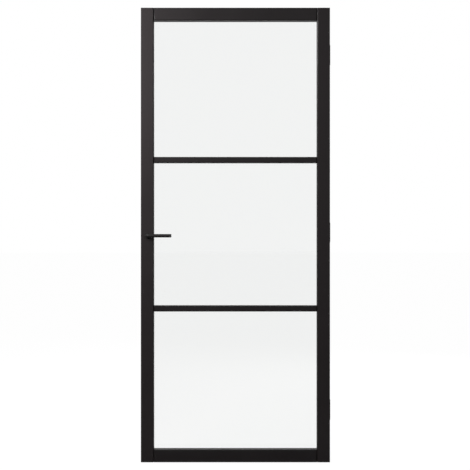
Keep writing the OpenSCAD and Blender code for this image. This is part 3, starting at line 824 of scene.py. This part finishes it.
@dataclass
class Glazing:
    """Three panes between foam tape and mitred beads that are pinned on the rear."""

    panes: tuple[str, ...] = ("top", "middle", "bottom")
    uprights: tuple[str, ...] = ("left", "right")
    levels: tuple[str, ...] = ("head", "sill")
    easing: Easing = Easing(radius_mm=0.3)
    pin_point_mm: float = 2.0

    def build(self) -> None:
        """Dresses panes and tape, eases the beads and drives the pins."""
        dress((f"glass_{pane}" for pane in self.panes), Finishes.GLASS)
        dress((f"glazing_tape_{pane}" for pane in self.panes), Finishes.TAPE)
        dress(["setting_blocks"], Finishes.RUBBER)
        self.beads(self.uprights, Finishes.UPRIGHT_LACQUER)
        self.beads(self.levels, Finishes.LEVEL_LACQUER_SHADED)
        self.pins()

    def beads(self, sides: tuple[str, ...], finish: Finishes) -> None:
        """Eases the beads on the given sides of every pane."""
        for pane in self.panes:
            for side in sides:
                self.easing.piece(f"bead_{pane}_{side}", Body.LEAF, finish)

    def pins(self) -> None:
        """Makes all bead pins, each with its head towards its own pane."""
        boxes = solids("bead_pins")
        places = [self.pin_place(low, high) for low, high in boxes]
        length = max(boxes[0][1] - boxes[0][0])
        radius = min(boxes[0][1] - boxes[0][0]) / 2
        made = FastenerGrowth(Drive.NONE, sides=10, rows=12).grow(
            "panel_pins", places, Finishes.ZINC, length=length, shank=radius, head=radius, sink=MM,
            pitch=MM, ridge=0.0, point=self.pin_point_mm * MM, plain=0.0,
        )
        settle(made, Body.LEAF, Finishes.ZINC, "bead_pins")

    def pin_place(self, low: Vector, high: Vector) -> tuple[Vector, Vector]:
        """Where a pin's head is and which way it looks.

        Args:
            low: The pin's lowest corner.
            high: Its highest corner.

        Returns:
            The head's middle and the way out of the head.
        """
        middle = (low + high) / 2
        axis = 0 if high.x - low.x > high.z - low.z else 2
        for pane in self.panes:
            glass_low, glass_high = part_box(f"glass_{pane}")
            if all(low[i] < glass_high[i] and high[i] > glass_low[i] for i in (0, 2)):
                towards = 1.0 if (glass_low[axis] + glass_high[axis]) / 2 > middle[axis] else -1.0
                break
        aim = Vector((0, 0, 0))
        aim[axis] = towards
        return middle + aim * (high[axis] - low[axis]) / 2, aim


@dataclass
class HingeSet:
    """Three butt hinges with bearing rings, and the screws in the leaf's own plates."""

    places: tuple[str, ...] = ("top", "middle", "bottom")
    easing: Easing = Easing(radius_mm=0.3, shortest=5.0)
    ring_band_mm: float = 2.2
    ring_rounding_mm: float = 0.2
    screw: CrossScrew = CrossScrew(
        shank=2.2, pitch=2.0, ridge=0.55, plain=5.0, point=5.0, recess=1.2, rows=130,
    )

    def build(self) -> None:
        """Eases the plates and pins and makes rings and screws, whose heads look towards the jamb."""
        for place in self.places:
            self.easing.piece(f"hinge_{place}_frame_plate", Body.JAMB, Finishes.POWDER)
            self.easing.piece(f"hinge_{place}_door_plate", Body.LEAF, Finishes.POWDER)
            self.easing.piece(f"hinge_{place}_pin", Body.JAMB, Finishes.POWDER)
        self.rings()
        self.screw.drive("hinge_screws", "hinge_wood_screws", Finishes.POWDER, Vector((1, 0, 0)), across=1)

    def rings(self) -> None:
        """Makes the bearing rings between the knuckles."""
        boxes = solids("hinge_rings")
        low, high = boxes[0]
        outer = (high.x - low.x) / 2
        made = RingGrowth().grow(
            "hinge_bearing_rings", [((a + b) / 2, Vector((0, 0, 1))) for a, b in boxes], Finishes.ZINC,
            inner=outer - self.ring_band_mm * MM, outer=outer, height=high.z - low.z,
            rounding=self.ring_rounding_mm * MM,
        )
        settle(made, Body.JAMB, Finishes.ZINC, "hinge_rings")


@dataclass
class LockSet:
    """The magnetic latch lock: forend, case, follower, springs, bolt and magnet."""

    easing: Easing = Easing(radius_mm=0.25, shortest=5.0)
    wire_mm: float = 0.6
    coils: float = 6.0
    follower_wire_mm: float = 0.8
    forend_screw: CrossScrew = CrossScrew(
        shank=2.0, pitch=1.6, ridge=0.4, plain=3.0, point=2.0, recess=1.2,
    )
    case_screw: CrossScrew = CrossScrew(
        shank=1.5, pitch=1.2, ridge=0.3, plain=3.0, point=2.0, recess=0.9,
    )

    def build(self) -> None:
        """Eases what is stamped or cast and makes the springs and the screws."""
        self.easing.piece("lock_forend", Body.LEAF, Finishes.POWDER)
        for name in ("lock_case", "lock_cover"):
            self.easing.piece(name, Body.LEAF, Finishes.ZINC)
        self.easing.piece("lock_follower", Body.HANDLE, Finishes.ZINC)
        self.easing.piece("latch_bolt", Body.LATCH, Finishes.ZINC)
        dress(["latch_magnet"], Finishes.NICKEL)
        self.latch_spring()
        self.follower_spring()
        self.forend_screw.drive(
            "lock_forend_screws", "lock_forend_screws_threaded", Finishes.POWDER, Vector((-1, 0, 0)),
            across=1,
        )
        self.case_screw.drive(
            "lock_case_screws", "lock_case_screws_threaded", Finishes.ZINC, Vector((0, 1, 0)), across=2,
        )

    def latch_spring(self) -> None:
        """Winds the latch spring, which the bolt presses together towards the post behind the forend."""
        low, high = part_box("latch_spring")
        wire = self.wire_mm / 2 * MM
        start = Vector((low.x + wire, (low.y + high.y) / 2, (low.z + high.z) / 2))
        made = CoilGrowth().grow(
            "latch_spring_coil", [(start, Vector((1, 0, 0)))], Finishes.SPRING_WIRE,
            length=high.x - low.x - 2 * wire, radius=(high.z - low.z) / 2 - wire, wire=wire, turns=self.coils,
        )
        settle(made, Body.LEAF, Finishes.SPRING_WIRE, "latch_spring")
        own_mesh(made)

    def follower_spring(self) -> None:
        """Copies the follower's spring, which rides on no body and doesn't turn; in the lock one leg stays in
        the case, the other turns with the lever.
        """
        shape = merged("follower_spring")
        mesh = bpy.data.meshes.new("follower_spring_wound")
        shape.to_mesh(mesh)
        shape.free()
        smooth(mesh)
        wound = link_object("follower_spring_wound", mesh)
        made = settle(wound, None, Finishes.SPRING_WIRE, "follower_spring")
        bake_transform(made)


@dataclass
class LeverSet:
    """Two round L-shaped levers on a square spindle, with small round rosettes on screwed discs."""

    easing: Easing = Easing(radius_mm=0.2, shortest=5.0)
    screw: CrossScrew = CrossScrew(
        shank=1.3, pitch=1.1, ridge=0.3, plain=2.5, point=3.0, recess=0.9,
    )

    def build(self) -> None:
        """Dresses the levers and eases the rosettes and the spindle, with two screws in each face."""
        dress(["lever_front", "lever_rear", "lever_grub_screws"], Finishes.POWDER)
        for name in ("rosette_front", "rosette_rear"):
            self.easing.piece(name, Body.LEAF, Finishes.POWDER)
        dress(["rosette_base_front", "rosette_base_rear"], Finishes.ZINC)
        dress(["lever_bushes"], Finishes.NYLON)
        self.easing.piece("spindle", Body.HANDLE, Finishes.ZINC)
        self.screw.drive(
            "rosette_screws", "rosette_wood_screws", Finishes.ZINC, Vector((0, 1, 0)), across=0,
            from_both_faces=True,
        )


# ---- studio ----


@dataclass(frozen=True)
class Softbox:
    """A rectangular softbox that looks at the middle of the leaf."""

    name: str
    offset: tuple[float, float, float]
    width: float
    height: float
    power: float
    colour: str = "#FFFFFF"
    seen: bool = True

    def hang(self, middle: Vector) -> None:
        """Hangs the softbox at its offset from the middle of the leaf."""
        data = bpy.data.lights.new(self.name, "AREA")
        data.shape, data.size, data.size_y, data.energy = "RECTANGLE", self.width, self.height, self.power
        data.color = linear(self.colour)[:3]
        made = bpy.data.objects.new(self.name, data)
        made.location = middle + Vector(self.offset)
        made.rotation_euler = (-Vector(self.offset)).to_track_quat("-Z", "Y").to_euler()
        made.visible_camera = made.visible_transmission = self.seen
        bpy.context.scene.collection.objects.link(made)


@dataclass
class Studio:
    """A white cyclorama with soft light from the upper left, and a camera square to the front."""

    distance: float = 5.0
    view_height: float = 2.1866
    camera_off_centre: float = -0.0019
    under_leaf: float = 0.006
    side: float = 60.0
    floor_glow: float = 0.945
    floor_colour: str = "#707070"
    fill: str = "#8E8E8E"
    white: str = "#FFFFFF"
    softboxes: tuple[Softbox, ...] = (
        Softbox("key", (-2.1, -4.0, 1.5), 1.2, 1.2, 54.0, "#FFF1F3"),
        Softbox("left_strip", (-1.35, -0.4, 1.3), 0.4, 0.5, 11.0),
        Softbox("rear", (1.8, 3.6, 1.6), 1.6, 1.6, 45.0, seen=False),
    )

    def build(self) -> None:
        """Makes the camera, the floor, the lights and the world."""
        bpy.context.scene.view_settings.view_transform = "Standard"
        low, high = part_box("stile_lock")
        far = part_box("stile_hinge")[1]
        middle = Vector(((low.x + far.x) / 2, low.y, (low.z + high.z) / 2))
        self.camera(middle)
        self.floor(low.z - self.under_leaf)
        for softbox in self.softboxes:
            softbox.hang(middle)
        self.world()

    def camera(self, middle: Vector) -> None:
        """Stands the camera in front of the middle of the leaf."""
        data = bpy.data.cameras.new("camera")
        data.lens = data.sensor_width / 2 / (self.view_height / 2 / self.distance)
        made = bpy.data.objects.new("camera", data)
        made.location = middle + Vector((self.camera_off_centre, -self.distance, 0))
        made.rotation_euler = (math.pi / 2, 0, 0)
        bpy.context.scene.collection.objects.link(made)
        bpy.context.scene.camera = made

    def looked_at(self, tree: bpy.types.NodeTree) -> bpy.types.NodeSocket:
        """One where the eye looks, straight or through glass, and nought for light that bounces."""
        path = add(tree, "ShaderNodeLightPath").outputs
        rays = {0: path["Is Camera Ray"], 1: path["Is Transmission Ray"]}
        return add(tree, "ShaderNodeMath", rays, operation="MAXIMUM").outputs[0]

    def floor(self, level: float) -> None:
        """Lays a pale floor at a level, overlit to the eye, that still takes a faint shadow."""
        mesh = bpy.data.meshes.new("floor")
        corners = [(x * self.side, y * self.side, level) for x, y in ((-1, -1), (1, -1), (1, 1), (-1, 1))]
        mesh.from_pydata(corners, [], [(0, 1, 2, 3)])
        material = bpy.data.materials.new("white_studio_floor")
        material.use_nodes = True
        tree = material.node_tree
        shader = tree.nodes["Principled BSDF"]
        shader.inputs["Base Color"].default_value = linear(self.floor_colour)
        shader.inputs["Roughness"].default_value = 1.0
        shader.inputs["Specular IOR Level"].default_value = 0.0
        shader.inputs["Emission Color"].default_value = linear(self.white)
        share = {0: self.looked_at(tree), 1: self.floor_glow}
        glow = add(tree, "ShaderNodeMath", share, operation="MULTIPLY")
        tree.links.new(glow.outputs[0], shader.inputs["Emission Strength"])
        mesh.materials.append(material)
        link_object("floor", mesh)

    def world(self) -> None:
        """White where it is looked at, dimmer where it only lights and is mirrored."""
        world = bpy.data.worlds.new("cyclorama")
        world.use_nodes = True
        tree = world.node_tree
        tree.nodes.clear()
        fill, white = (
            add(tree, "ShaderNodeBackground", {"Color": linear(colour), "Strength": 1.0}).outputs[0]
            for colour in (self.fill, self.white)
        )
        mix = add(tree, "ShaderNodeMixShader", {0: self.looked_at(tree), 1: fill, 2: white})
        add(tree, "ShaderNodeOutputWorld", {"Surface": mix.outputs[0]})
        bpy.context.scene.world = world


def main() -> None:
    """Builds the sub-assemblies in order, then the studio."""
    logging.basicConfig(level=logging.INFO, format="%(name)s: %(message)s")
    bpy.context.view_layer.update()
    for part in (LeafFrame(), Glazing(), HingeSet(), LockSet(), LeverSet(), Studio()):
        part.build()


if __name__ == "__main__":
    main()
